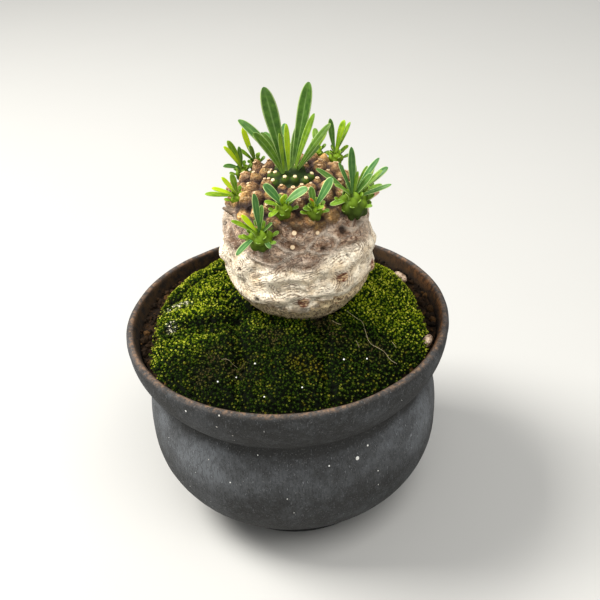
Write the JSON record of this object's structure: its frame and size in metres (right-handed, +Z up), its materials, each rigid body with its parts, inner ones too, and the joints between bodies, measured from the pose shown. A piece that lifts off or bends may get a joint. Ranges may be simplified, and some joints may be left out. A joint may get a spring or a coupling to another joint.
{
  "type": "potted euphorbia",
  "caption": "Potted gabizan euphorbia: barrel caudex with tubercles, spoon leaves and side shoots, set in moss in a flared dark clay pot.",
  "frame": {"origin": "middle of the pot's foot, on the surface it stands on", "axes": "+Z up through the middle of the pot, -Y towards the side seen in the picture, +X to the right"},
  "size_m": [0.1, 0.1, 0.1356],
  "materials": {
    "charcoal_clay": "matt, unglazed, dusty",
    "black_plastic": "matt",
    "dark_soil": "rough, grainy",
    "tan_stone": "rough",
    "moss": "soft tufts",
    "pale_bark": "papery, matt",
    "leaf_green": "satin",
    "shoot_green": "satin",
    "withered_brown": "dry, matt"
  },
  "bodies": {
    "root": {"pot": "charcoal_clay", "drain_mesh": "black_plastic", "soil": "dark_soil", "stone_back_right": "tan_stone", "stone_right": "tan_stone", "moss_cushion_left": "moss", "moss_cushion_front_left": "moss", "moss_cushion_front": "moss", "moss_cushion_right": "moss", "moss_cushion_back_left": "moss", "moss_cushion_back": "moss", "caudex": "pale_bark", "crown": "leaf_green", "shoot_upper_left": "shoot_green", "shoot_back_left": "shoot_green", "shoot_left": "shoot_green", "shoot_front_left": "shoot_green", "shoot_front": "shoot_green", "shoot_front_right": "shoot_green", "shoot_right": "shoot_green", "shoot_back_right": "shoot_green", "shoot_back": "shoot_green", "shoot_rear": "shoot_green", "shoot_rear_right": "shoot_green", "withered_leaf": "withered_brown"}
  },
  "joints": []
}
